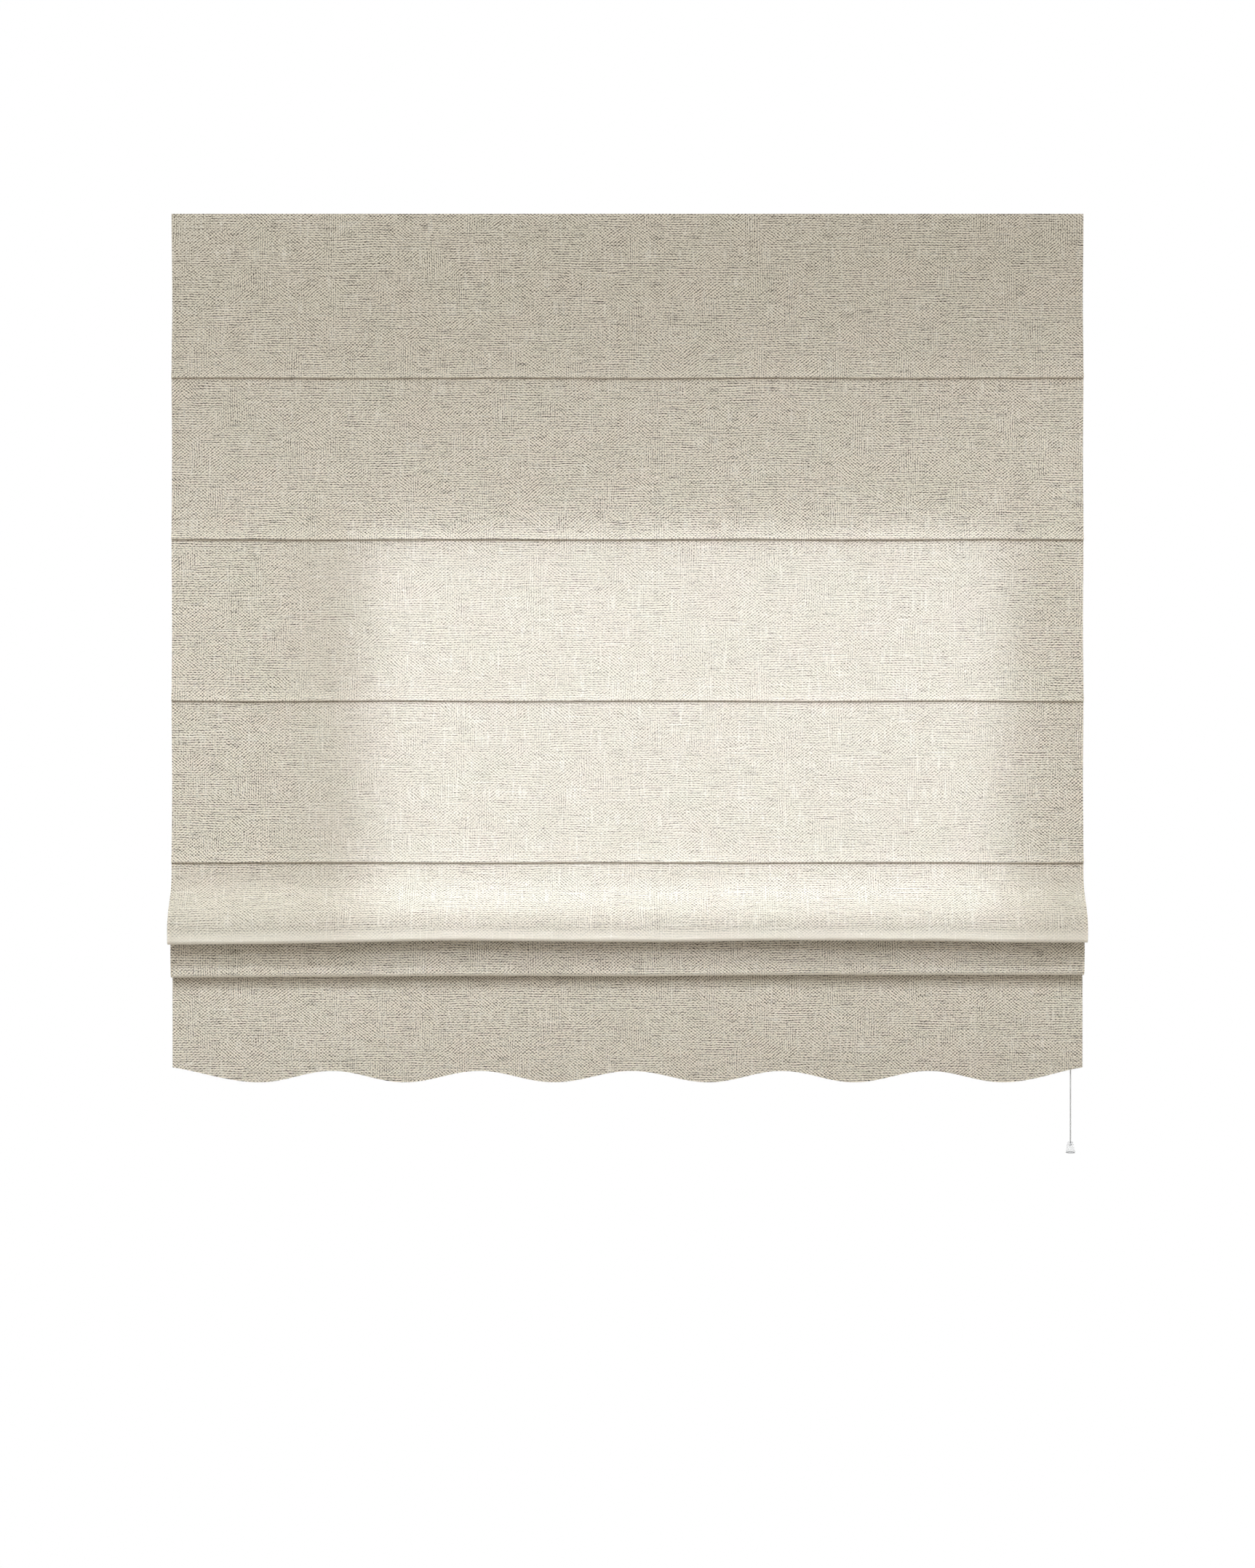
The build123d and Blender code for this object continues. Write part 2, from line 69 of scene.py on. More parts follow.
# A socket in a material, with sums on values written as plain expressions
class Sock:
    def __init__(self, tree, out=None):
        self.tree = tree
        self.out = out

    # Any node: its settings first, then the values or links of its sockets
    def node(self, kind, settings=None, sockets=None, out=0):
        made = self.tree.nodes.new(kind)
        for name, value in (settings or {}).items():
            setattr(made, name, value)
        for name, value in (sockets or {}).items():
            if isinstance(value, Sock):
                self.tree.links.new(value.out, made.inputs[name])
            else:
                made.inputs[name].default_value = value
        return Sock(self.tree, made.outputs[out] if made.outputs else None)

    def maths(self, operation, *values):
        return self.node("ShaderNodeMath", {"operation": operation}, dict(enumerate(values)))

    def __add__(self, other):
        return self.maths("ADD", self, other)

    def __radd__(self, other):
        return self.maths("ADD", other, self)

    def __sub__(self, other):
        return self.maths("SUBTRACT", self, other)

    def __rsub__(self, other):
        return self.maths("SUBTRACT", other, self)

    def __mul__(self, other):
        return self.maths("MULTIPLY", self, other)

    def __rmul__(self, other):
        return self.maths("MULTIPLY", other, self)

    def __truediv__(self, other):
        return self.maths("DIVIDE", self, other)

    def wave(self):
        return self.maths("COSINE", self * (2 * math.pi))

    def part(self):
        return self.maths("FRACT", self)

    def size(self):
        return self.maths("ABSOLUTE", self)

    # 0 below low, 1 above high, eased between them
    def rise(self, low, high, start=0.0, end=1.0):
        return self.node(
            "ShaderNodeMapRange",
            {"interpolation_type": "SMOOTHSTEP"},
            {"Value": self, "From Min": low, "From Max": high, "To Min": start, "To Max": end},
        )

    # From one colour to another by this value
    def tint(self, start, end):
        return self.node("ShaderNodeMix", {"data_type": "RGBA"}, {0: self, 6: start, 7: end}, 2)


def newMaterial(name):
    material = bpy.data.materials.new(name)
    material.use_nodes = True
    material.node_tree.nodes.clear()
    return material, Sock(material.node_tree)


def useShader(shader):
    shader.node("ShaderNodeOutputMaterial", {}, {"Surface": shader})


# Position on the object, in metres
def placeOf(start):
    return start.node("ShaderNodeTexCoord", {}, {}, "Object")


# A position's value along one axis
def axisOf(place, axis):
    return place.node("ShaderNodeSeparateXYZ", {}, {"Vector": place}, axis)


# Noise over a place, stretched by its cells per metre along each axis
def grain(place, cells, detail=2.0, rough=0.5, shift=0.0):
    stretched = place.node("ShaderNodeMapping", {}, {"Vector": place, "Scale": cells, "Location": (shift, shift, 0)})
    return place.node(
        "ShaderNodeTexNoise", {}, {"Vector": stretched, "Scale": 1.0, "Detail": detail, "Roughness": rough}
    )


def bumped(height, distance, strength=1.0):
    return height.node("ShaderNodeBump", {}, {"Height": height, "Distance": distance, "Strength": strength}, "Normal")


def principled(start, **values):
    names = {key.replace("_", " "): value for key, value in values.items()}
    return start.node("ShaderNodeBsdfPrincipled", {}, names)


def dress(material, *names):
    for name in names:
        nodes[name].data.materials.clear()
        nodes[name].data.materials.append(material)


# Linen: fine lines between the threads, two sets on the slant, one level and one upright, whose shares drift
# over the cloth, broken into dashes, with slubs, knots and specks, and with painted shade in a thin line under each
# tuck.
# Lengths are in metres, and shares say how strongly each mark colours the cloth
linenLook = {
    "paleWarm": screenColour(243, 233, 217),
    "paleCool": screenColour(241, 233, 216),
    "deep": screenColour(50, 40, 27),
    "slub": screenColour(252, 247, 238),
    # colour of the painted shade under the tucks and under the rear fold
    "paintedShade": screenColour(104, 82, 57),
    "through": screenColour(232, 229, 222),
    "cell": (0.0056, 0.0047),
    "wander": 1.4,
    "kink": 0.45,
    "rowPitch": 0.0036,
    "columnPitch": 0.0035,
    "lineEase": (0.2, -1.0),
    "slantShare": 0.8,
    "levelShare": 3.6,
    "uprightShare": 2.4,
    "dashShare": 0.55,
    "darkest": 1.30,
    "ground": -0.018,
    "lineMean": 0.285,
    # painted glow: how much the weave is evened where the bright field falls, and the edges of that field across
    "paintedGlowShare": 0.37,
    "paintedGlowLeft": (-0.62, -0.40),
    "paintedGlowRight": (0.68, 0.52),
    "pressedCalm": 0.75,
    "pressedPitch": 0.0024,
    "pressedShare": 0.10,
    "speckShare": 0.28,
    "darkSlubShare": 0.2,
    "slubDownShare": 0.24,
    "slubAlongShare": 0.28,
    "knotShare": 0.45,
    # painted highlight on the pressed fold bands
    "foldHighlightShare": 0.30,
    # painted shade under each tuck: how far below the tuck it starts, and how dark its thin and its soft parts are
    "paintedShadeBelow": 0.0028,
    "paintedShadeShare": 0.46,
    "paintedShadeSoftShare": 0.1,
    # painted shade on the skirt under the rear fold
    "skirtShadeShare": 0.15,
    "stitchPitch": 0.0042,
    "stitchShare": 0.22,
    "bump": 0.0003,
    "bumpStrength": 0.3,
    "throughShare": 0.05,
}


def linenMaterial(look, marks):
    material, start = newMaterial("linen")
    sheetPlace = start.node("ShaderNodeUVMap", {"uv_map": "cloth"}, {})
    across, down = axisOf(sheetPlace, "X"), axisOf(sheetPlace, "Y")
    foldWearAndHighlight = start.node("ShaderNodeAttribute", {"attribute_name": "fold"}, {}, "Fac")
    seam = start.node("ShaderNodeAttribute", {"attribute_name": "seam"}, {}, "Fac")
    # place in the weave, in cells, where threads wander slowly and kink a little
    cellWide, cellTall = look["cell"]
    wander, kink = look["wander"], look["kink"]
    warp = across / cellWide + grain(sheetPlace, (9, 6, 1), 1.0) * wander + grain(sheetPlace, (90, 60, 1), 0.0) * kink
    weft = down / cellTall + grain(sheetPlace, (6, 9, 1), 1.0) * wander + grain(sheetPlace, (60, 90, 1), 0.0) * kink
    level = weft * (cellTall / look["rowPitch"])
    upright = warp * (cellWide / look["columnPitch"])
    shares = [
        (warp + weft, look["slantShare"] + grain(sheetPlace, (20, 26, 1), 0.0, shift=12.3).rise(0.32, 0.62)),
        (warp - weft, look["slantShare"] + grain(sheetPlace, (20, 26, 1), 0.0, shift=87.6).rise(0.32, 0.62)),
        (level, grain(sheetPlace, (12, 26, 1), 1.0, shift=31.4).rise(0.42, 0.62) * look["levelShare"]),
        (upright, grain(sheetPlace, (26, 14, 1), 1.0, shift=55.2).rise(0.52, 0.70) * look["uprightShare"]),
    ]
    lines = sum(share * phase.wave().rise(*look["lineEase"]) for phase, share in shares)
    lines = lines / sum(share for phase, share in shares)
    yarn = grain(sheetPlace, (300, 380, 1), 0.0)
    # a pressed fold lays the threads flat, in fine level lines
    calm = 1.0 - foldWearAndHighlight * look["pressedCalm"]
    pressed = (down / look["pressedPitch"]).wave().rise(*look["lineEase"]) * foldWearAndHighlight * look["pressedShare"]
    lines = lines * (1.0 - yarn.rise(0.36, 0.64) * look["dashShare"]) * calm + pressed
    # the middle panels and the front fold are painted more even in tone, a painted effect of light shining through the
    # cloth where the bright field falls
    secondTuck, lastTuck, frontLow = marks["tucks"][1], marks["tucks"][3], marks["frontLow"]
    panels = across.rise(*look["paintedGlowLeft"]) * across.rise(*look["paintedGlowRight"])
    paintedGlowEven = (panels + down.rise(lastTuck, lastTuck + 0.03)).rise(0.0, 1.0) * look["paintedGlowShare"]
    paintedGlowEven = paintedGlowEven * down.rise(secondTuck - 0.04, secondTuck + 0.05)
    paintedGlowEven = paintedGlowEven * down.rise(frontLow + 0.02, frontLow - 0.02)
    lines = lines + (look["lineMean"] - lines) * paintedGlowEven
    dark = lines * look["darkest"] + look["ground"]
    # slubs run down the warp and along the weft, some of them dark
    slubDown = grain(sheetPlace, (300, 24, 1), 0.0).rise(0.62, 0.78)
    slubAlong = grain(sheetPlace, (20, 330, 1), 0.0).rise(0.68, 0.80)
    darkAlong = grain(sheetPlace, (34, 400, 1), 0.0).rise(0.44, 0.26)
    knots = grain(sheetPlace, (190, 210, 1), 0.0).rise(0.76, 0.82)
    specks = grain(sheetPlace, (230, 310, 1), 0.0).rise(0.27, 0.20)
    dark = dark + (specks * look["speckShare"] + darkAlong * look["darkSlubShare"]) * calm * (1.0 - paintedGlowEven)
    colour = grain(sheetPlace, (11, 13, 1), 2.0).rise(0.3, 0.7).tint(look["paleWarm"], look["paleCool"])
    colour = dark.tint(colour, look["deep"])
    paler = slubDown * look["slubDownShare"] + slubAlong * look["slubAlongShare"]
    # the pressed fold bands are also painted lighter, a painted highlight where light catches the folds
    paler = paler + knots * look["knotShare"] + foldWearAndHighlight * look["foldHighlightShare"]
    colour = paler.tint(colour, look["slub"])
    # painted shade: under each tuck, and below the rear fold, the cloth is painted darker in a thin line that fades
    # downwards, where the tuck's lip and the rear fold shade the cloth below them
    paintedShade = 0.0
    for edge in marks["tucks"]:
        gap = down - (edge + look["paintedShadeBelow"])
        line = gap.rise(0.0026, 0.0008) * look["paintedShadeShare"] + gap.rise(0.009, 0.001) * look["paintedShadeSoftShare"]
        paintedShade = paintedShade + gap.rise(-0.0006, 0.0002) * line
    belowFold = down - marks["skirt"]
    paintedShade = paintedShade + belowFold.rise(-0.002, 0.0) * belowFold.rise(0.010, 0.002) * look["skirtShadeShare"]
    colour = (paintedShade * grain(sheetPlace, (60, 1, 1), 1.0).rise(0.2, 0.6, 0.6)).tint(colour, look["paintedShade"])
    stitch = seam.size().rise(0.0011, 0.0004) * (across / look["stitchPitch"]).part().rise(0.9, 0.75)
    stitch = stitch * grain(sheetPlace, (6, 1, 1), 1.0).rise(0.38, 0.6)
    colour = (stitch * look["stitchShare"]).tint(colour, look["deep"])
    height = slubDown * 0.8 + slubAlong * 0.7 + knots - stitch - lines * 1.4
    normal = bumped(height, look["bump"], look["bumpStrength"])
    rough = 0.84 + yarn * 0.14
    cloth = principled(start, Base_Color=colour, Roughness=rough, Normal=normal, Sheen_Weight=0.1, IOR=1.35)
    glow = start.node("ShaderNodeBsdfTranslucent", {}, {"Color": look["through"]})
    share = look["throughShare"] * (1.2 - lines * 0.6)
    useShader(start.node("ShaderNodeMixShader", {}, {0: share, 1: cloth, 2: glow}))
    return material


# Woven tape: fine ribs across and along, with a row of stitches each side of its middle
tapeLook = {
    "thread": screenColour(232, 229, 220),
    "shade": screenColour(196, 191, 179),
    "stitch": screenColour(214, 208, 194),
    "ribs": (0.0017, 0.0013),
    "stitchPitch": 0.0036,
    "bump": 0.0003,
}


def tapeMaterial(name, look, acrossAxis, middle, stitchOff):
    material, start = newMaterial(name)
    place = placeOf(start)
    x, y, z = [axisOf(place, axis) for axis in "XYZ"]
    across = {"Y": y, "Z": z}[acrossAxis]
    ribWide, ribTall = look["ribs"]
    weave = (x / ribWide).wave() * ((y + z) / ribTall).wave()
    yarn = grain(place, (900, 900, 900), 2.0)
    tone = (weave * 0.28 + yarn * 0.5 + grain(place, (14, 60, 60), 2.0) * 0.4).rise(0.0, 0.9)
    colour = tone.tint(look["shade"], look["thread"])
    line = ((across - middle).size() - stitchOff).size().rise(0.0006, 0.00025)
    stitch = line * (x / look["stitchPitch"]).part().rise(0.86, 0.74)
    colour = (stitch * 0.8).tint(colour, look["stitch"])
    normal = bumped(weave * 0.4 + yarn * 0.4 + stitch * 1.2, look["bump"], 0.7)
    useShader(principled(start, Base_Color=colour, Roughness=0.82 + yarn * 0.14, Normal=normal, Sheen_Weight=0.1))
    return material


# Where each tape's middle is, and how far its stitches are from it: the upper four pockets hang flat on the cloth,
# the lower two lie level on the crown of a fold
pockets = {
    "top": 0.021,
    "drops": {1: 0.257, 2: 0.505, 3: 0.753, 4: 1.001},
    "crownOut": -0.0253,
    "stitchOff": 0.0025,
    "barDrop": 1.2923,
    "barStitchOff": 0.0085,
}
for row in rows:
    if row in pockets["drops"]:
        axis, middle = "Z", pockets["top"] - pockets["drops"][row]
    else:
        axis, middle = "Y", pockets["crownOut"]
    dress(tapeMaterial(f"pocketTape{row}", tapeLook, axis, middle, pockets["stitchOff"]), f"rod_pocket_{row}")
barMiddle = pockets["top"] - pockets["barDrop"]
dress(tapeMaterial("barPocketTape", tapeLook, "Z", barMiddle, pockets["barStitchOff"]), "bar_pocket")


# Hook and loop tape: a mat of fine hooks or curls on a woven ground
curlLook = {"light": screenColour(233, 231, 226), "dark": screenColour(176, 174, 168), "hooks": 900.0, "loops": 620.0}


def curlMaterial(name, look, cells):
    material, start = newMaterial(name)
    place = placeOf(start)
    curl = start.node("ShaderNodeTexVoronoi", {}, {"Vector": place, "Scale": cells}, "Distance")
    tone = (curl.rise(0.1, 0.75) * 0.7 + grain(place, (400, 400, 400), 3.0) * 0.5).rise(0.1, 0.9)
    colour = tone.tint(look["light"], look["dark"])
    normal = bumped(1.0 - curl, 0.0006, 0.8)
    useShader(principled(start, Base_Color=colour, Roughness=0.75 + curl * 0.2, Normal=normal, Sheen_Weight=0.2))
    return material


dress(curlMaterial("hookTape", curlLook, curlLook["hooks"]), "hook_tape")
dress(curlMaterial("loopTape", curlLook, curlLook["loops"]), "loop_tape")


# Powder-coated aluminium: a fine orange-peel skin, a slow change of tone and faint handling marks
railLook = {"coat": screenColour(236, 235, 230), "dull": screenColour(214, 212, 205)}


def railMaterial(look):
    material, start = newMaterial("railPaint")
    place = placeOf(start)
    peel = grain(place, (700, 700, 700), 2.0)
    handled = grain(place, (5, 160, 160), 3.0).rise(0.62, 0.74)
    tone = (grain(place, (6, 40, 40), 3.0) * 0.6 + handled * 0.4).rise(0.15, 0.9)
    colour = tone.tint(look["coat"], look["dull"])
    rough = 0.34 + peel * 0.12 + handled * 0.14
    normal = bumped(peel, 0.00012, 0.6)
    useShader(
        principled(start, Base_Color=colour, Roughness=rough, Normal=normal, Coat_Weight=0.15, Coat_Roughness=0.25)
    )
    return material


dress(railMaterial(railLook), "head_rail")

# Moulded plastic: a spark-eroded grain, a slow change of tone and a few scuffs; each has its fresh colour,
# its worn colour and its roughness
plasticLook = {
    "white": (screenColour(233, 233, 229), screenColour(214, 213, 207), 0.40),
    "ring": (screenColour(226, 227, 224), screenColour(203, 204, 200), 0.26),
    "rod": (screenColour(226, 221, 205), screenColour(205, 198, 178), 0.44),
}


def plasticMaterial(name, look, streaks=(60, 60, 60)):
    fresh, worn, base = look
    material, start = newMaterial(name)
    place = placeOf(start)
    skin = grain(place, (2600, 2600, 2600), 2.0)
    flow = grain(place, streaks, 3.0)
    scuff = grain(place, (420, 120, 300), 4.0).rise(0.60, 0.70)
    colour = (flow * 0.7 + scuff * 0.35).rise(0.1, 0.95).tint(fresh, worn)
    rough = base + skin * 0.1 + scuff * 0.15
    normal = bumped(skin + flow * 0.4, 0.00006, 0.6)
    useShader(principled(start, Base_Color=colour, Roughness=rough, Normal=normal, IOR=1.49))
    return material


whitePlastic = plasticMaterial("whitePlastic", plasticLook["white"])
ringPlastic = plasticMaterial("ringPlastic", plasticLook["ring"])
rodPlastic = plasticMaterial("rodPlastic", plasticLook["rod"], (3, 900, 900))
dress(whitePlastic, "end_cap_left", "end_cap_right", "lock_body", "lock_drum", "cord_joiner")
dress(whitePlastic, *[f"pulley_block_{name}" for name in columns], *[f"pulley_wheel_{name}" for name in columns])
dress(ringPlastic, "cord_stops", *[f"ring_row_{row}" for row in rows])
dress(rodPlastic, *[f"rod_{row}" for row in rows])

# Clear bell: glossy see-through plastic, painted grey where its wall is seen edge-on and painted dark in a thin line
# round its foot, standing in for the reflections at its edges
bellLook = {
    "clear": screenColour(255, 255, 255),
    "haze": screenColour(247, 248, 249),
    "wall": screenColour(84, 88, 92),
    "foot": -1.4235,
    "paintedRim": (0.0018, 0.0008),
    "paintedRimShare": 0.75,
    "through": 0.92,
}


def bellMaterial(look):
    material, start = newMaterial("bellPlastic")
    place = placeOf(start)
    haze = grain(place, (900, 900, 260), 3.0)
    colour = haze.rise(0.3, 0.8).tint(look["clear"], look["haze"])
    paintedEdge = start.node("ShaderNodeLayerWeight", {}, {"Blend": 0.35}, "Facing")
    paintedRim = (axisOf(place, "Z") - look["foot"]).rise(*look["paintedRim"]) * look["paintedRimShare"]
    # painted reflection: grey where the wall is seen edge-on, and a dark line round the foot
    colour = start.maths("MAXIMUM", paintedEdge.rise(0.42, 0.92), paintedRim).tint(colour, look["wall"])
    rough = 0.03 + haze * 0.05
    normal = bumped(haze, 0.00005, 0.4)
    clear = {"Transmission_Weight": look["through"], "IOR": 1.35, "Coat_Weight": 0.3}
    useShader(principled(start, Base_Color=colour, Roughness=rough, Normal=normal, **clear))
    return material


dress(bellMaterial(bellLook), "pull_bell")

# Metals: rolled zinc plate with a faint spangle, and a bar brushed along its length; each has its light colour,
# its dark colour, its streaks per metre and its roughness
metalLook = {
    "zinc": (screenColour(196, 200, 205), screenColour(158, 162, 168), (40, 40, 260), 0.30),
    "bar": (screenColour(206, 208, 210), screenColour(172, 174, 177), (4, 900, 900), 0.28),
}


def metalMaterial(name, look):
    light, dark, streaks, base = look
    material, start = newMaterial(name)
    place = placeOf(start)
    brush = grain(place, streaks, 4.0, 0.6)
    spangle = start.node("ShaderNodeTexVoronoi", {}, {"Vector": place, "Scale": 160.0}, "Distance")
    colour = (brush * 0.7 + spangle * 0.4).rise(0.15, 0.9).tint(light, dark)
    rough = base + brush * 0.18 + spangle * 0.06
    normal = bumped(brush, 0.00005, 0.5)
    useShader(principled(start, Base_Color=colour, Roughness=rough, Metallic=1.0, Normal=normal))
    return material


zinc = metalMaterial("zinc", metalLook["zinc"])
dress(zinc, "pulley_axles", "lock_axle", "lock_roller")
for side in ("left", "right"):
    dress(zinc, f"bracket_{side}", f"latch_{side}", f"cam_{side}")
dress(metalMaterial("brushedBar", metalLook["bar"]), "bottom_bar")

# Braided cord: two sets of strands that cross on the slant
cordLook = {"strand": screenColour(241, 242, 243), "shade": screenColour(178, 179, 181), "lean": 420.0, "along": 330.0}


def cordMaterial(look):
    material, start = newMaterial("braid")
    place = placeOf(start)
    lean = (axisOf(place, "X") + axisOf(place, "Y")) * look["lean"]
    along = axisOf(place, "Z") * look["along"]
    crossing = (along + lean).wave() * (along - lean).wave()
    fibre = grain(place, (1500, 1500, 500), 2.0)
    colour = (crossing * 0.35 + fibre * 0.7).rise(-0.1, 0.9).tint(look["shade"], look["strand"])
    normal = bumped(crossing + fibre * 0.5, 0.00025, 0.7)
    useShader(principled(start, Base_Color=colour, Roughness=0.6 + fibre * 0.3, Normal=normal, Sheen_Weight=0.15))
    return material


braid = cordMaterial(cordLook)
print("materials made,", len(bpy.data.materials))


# A mesh from grids of points and their faces, with smooth sides and crisp rims
def meshPiece(name, points, faces, material, smoothTo=40):
    mesh = bpy.data.meshes.new(name)
    mesh.from_pydata(points.reshape(-1, 3), [], faces.tolist())
    mesh.update()
    mesh.polygons.foreach_set("use_smooth", np.ones(len(faces), bool))
    mesh.set_sharp_from_angle(angle=math.radians(smoothTo))
    mesh.materials.append(material)
    piece = bpy.data.objects.new(name, mesh)
    bpy.context.scene.collection.objects.link(piece)
    return piece


# Faces of a closed shell: a front grid, a back grid behind it, and the four borders between them
def shellFaces(rows, cols):
    front = np.arange(rows * cols).reshape(rows, cols)
    back = front + rows * cols
    quads = [
        (front[:-1, :-1], front[1:, :-1], front[1:, 1:], front[:-1, 1:]),
        (back[:-1, :-1], back[:-1, 1:], back[1:, 1:], back[1:, :-1]),
        (front[:-1, 0], back[:-1, 0], back[1:, 0], front[1:, 0]),
        (front[:-1, -1], front[1:, -1], back[1:, -1], back[:-1, -1]),
        (front[0, :-1], front[0, 1:], back[0, 1:], back[0, :-1]),
        (front[-1, :-1], back[-1, :-1], back[-1, 1:], front[-1, 1:]),
    ]
    return np.concatenate([np.stack(quad, -1).reshape(-1, 4) for quad in quads])


# Cloth: corners of its middle line as (out, drop, round), in metres, from the top edge down
cloth = {
    "top": 0.021,
    "half": 0.7,
    "thick": 0.0008,
    "flat": -0.0322,
    "tucks": (0.252, 0.5, 0.748, 0.996),
    "lip": ((0.0, -0.013, 0.006), (-0.0028, -0.0026, 0.005), (-0.003, 0.0, 0.0012), (0.0, 0.0, 0.0008)),
    "hangs": [
        (-0.0322, 1.032, 0.05),
        (-0.0706, 1.080, 0.05),
        (-0.0706, 1.1156, 0.0055),
        (-0.0522, 1.1156, 0.009),
        (-0.0310, 1.018, 0.0017),
        (-0.0276, 1.018, 0.0017),
        (-0.0432, 1.128, 0.06),
        (-0.0402, 1.1696, 0.006),
        (-0.0282, 1.1696, 0.006),
        (-0.027, 1.086, 0.0017),
        (-0.0236, 1.086, 0.0017),
        (-0.0236, 1.3263, 0.0),
    ],
    "panelTall": 0.248,
    "rowFour": 1.001,
    "crownFive": 1.018,
    "skirtTop": 1.095,
    "belowRear": 0.076,
    "rearSplit": 0.014,
    # columns across, ease of their spacing towards the sides, and rows by length and by turn
    "columns": 145,
    "columnEase": 0.86,
    "rowStep": 0.015,
    "rowTurn": 0.22,
    "hemWidth": 0.036,
    "hemThick": 0.8,
    "hemBend": 60,
    "waist": 0.0008,
    "billow": 0.0011,
    "tuckReach": 0.012,
    "ripple": 0.0003,
    "tuckSag": 0.0004,
    "frontReach": 0.045,
    "rearReach": 0.04,
    "frontWave": 0.0012,
    # forward bulge of the front fold's back run: its size, how far past the lowest line, and its reach
    "bulge": (0.005, 0.06, 0.022),
    "skirtBillow": 0.0008,
    # lowest edges of the two hanging folds: place across and how much lower than level
    "frontSag": ((-0.7, 0.0046), (-0.55, 0.0036), (-0.43, 0.0013), (-0.34, -0.0009), (-0.25, -0.002), (-0.15, -0.0009),
                 (0.0, 0.0002), (0.11, 0.0002), (0.2, -0.002), (0.48, -0.0016), (0.57, 0.0008), (0.7, 0.0013)),
    "rearSag": ((-0.7, 0.003), (-0.5, 0.0022), (-0.2, 0.0), (0.0, 0.001), (0.25, -0.0011), (0.7, -0.0011)),
    # hem: where each scallop is lowest, its middle drop, its swing, and the lift of the two corners
    "lows": (-0.566, -0.343, -0.113, 0.125, 0.349, 0.578),
    "hemDrop": 1.3263,
    "hemSwing": 0.0088,
    "cornerLift": 0.0055,
    "seamDrop": 1.3018,
}


# The middle line: straight runs between the corners, and at each corner an arc that touches both runs
def foldLine(corners):
    spot = np.array([corner[:2] for corner in corners])
    leg = np.diff(spot, axis=0)
    span = np.linalg.norm(leg, axis=1)
    way = leg / span[:, None]
    parts = [spot[:1]]
    for i in range(1, len(spot) - 1):
        turn = math.atan2(way[i - 1, 0] * way[i, 1] - way[i - 1, 1] * way[i, 0], way[i - 1] @ way[i])
        reach = math.tan(abs(turn) / 2)
        radius = min(corners[i][2], 0.49 * min(span[i - 1], span[i]) / reach)
        first = spot[i] - way[i - 1] * radius * reach
        side = np.array([-way[i - 1, 1], way[i - 1, 0]]) * math.copysign(radius, turn)
        angle = np.linspace(0, turn, 25)
        swing = np.stack([np.cos(angle), np.sin(angle)], 1)
        arm = -side
        parts.append(first + side + np.stack(
            [arm[0] * swing[:, 0] - arm[1] * swing[:, 1], arm[0] * swing[:, 1] + arm[1] * swing[:, 0]], 1))
    parts.append(spot[-1:])
    line = np.concatenate(parts)
    along = np.concatenate([[0], np.cumsum(np.linalg.norm(np.diff(line, axis=0), axis=1))])
    return line, along


# Smooth curve through values listed across the width
def acrossCurve(pairs, x):
    place, value = np.array(pairs).T
    fine = np.linspace(-0.75, 0.75, 601)
    rough = np.interp(fine, place, value)
    kernel = np.hanning(61)
    soft = np.convolve(np.pad(rough, 30, mode="edge"), kernel / kernel.sum(), mode="valid")
    return np.interp(x, fine, soft)


clothCorners = [(cloth["flat"], 0.0, 0.0)]
for tuckDrop in cloth["tucks"]:
    clothCorners += [(cloth["flat"] + out, tuckDrop + rise, size) for out, rise, size in cloth["lip"]]
clothCorners += cloth["hangs"]
clothLine, clothAlong = foldLine(clothCorners)
# places along the cloth: rows closer where it bends, the lowest lines of the two folds, the crowns and the tucks
fineAlong = np.linspace(0, clothAlong[-1], 8001)
fineOut = np.interp(fineAlong, clothAlong, clothLine[:, 0])
fineDrop = np.interp(fineAlong, clothAlong, clothLine[:, 1])
fineWay = np.unwrap(np.arctan2(np.gradient(fineDrop), np.gradient(fineOut)))
bend = np.abs(np.gradient(fineWay, fineAlong))
rowCount = np.concatenate([[0], np.cumsum((1 / cloth["rowStep"] + bend[1:] / cloth["rowTurn"]) * np.diff(fineAlong))])
lowFront = fineAlong[np.argmax(np.where(fineAlong < clothAlong[-1] - 0.5, fineDrop, 0))]
crownFive = fineAlong[np.argmin(np.where((fineAlong > lowFront) & (fineAlong < lowFront + 0.15), fineDrop, 9))]
rowFour = fineAlong[np.argmax(fineDrop >= cloth["rowFour"])]
lowRear = fineAlong[np.argmax(np.where((fineAlong > crownFive) & (fineAlong < crownFive + 0.2), fineDrop, 0))]
rearSplit = lowRear + cloth["rearSplit"]
skirtTop = clothAlong[-1] - (cloth["hemDrop"] - cloth["skirtTop"])
tuckEdges = [fineAlong[np.argmax(fineDrop >= tuckDrop - 0.0002)] for tuckDrop in cloth["tucks"]]
marks = {
    "tucks": [float(edge) for edge in tuckEdges],
    "frontLow": float(lowFront),
    "skirt": float(skirtTop) + cloth["belowRear"],
}
linen = linenMaterial(linenLook, marks)
print("cloth line", round(float(clothAlong[-1]), 4), "front fold at", round(float(lowFront), 4))


# Drop of the scalloped edge: a cosine wave whose low points are set across the width, lifted at the two corners
def hemEdge(x):
    places = [-cloth["half"], *cloth["lows"], cloth["half"]]
    turns = [0.0, *[k + 0.5 for k in range(len(cloth["lows"]))], float(len(cloth["lows"]))]
    phase = np.interp(x, places, turns)
    corner = cloth["cornerLift"] * np.clip((np.abs(x) / cloth["half"] - 0.9) / 0.1, 0, 1) ** 2
    return cloth["hemDrop"] - cloth["hemSwing"] * np.cos(2 * np.pi * phase) - corner


# How sharply the middle line bends at a place along it, per metre
def bendAt(s):
    return np.interp(s, fineAlong, bend)


# A soft bump of height one about a place along the cloth
def hump(s, middle, reach, power=2):
    return np.exp(-(((s - middle) / reach) ** power))


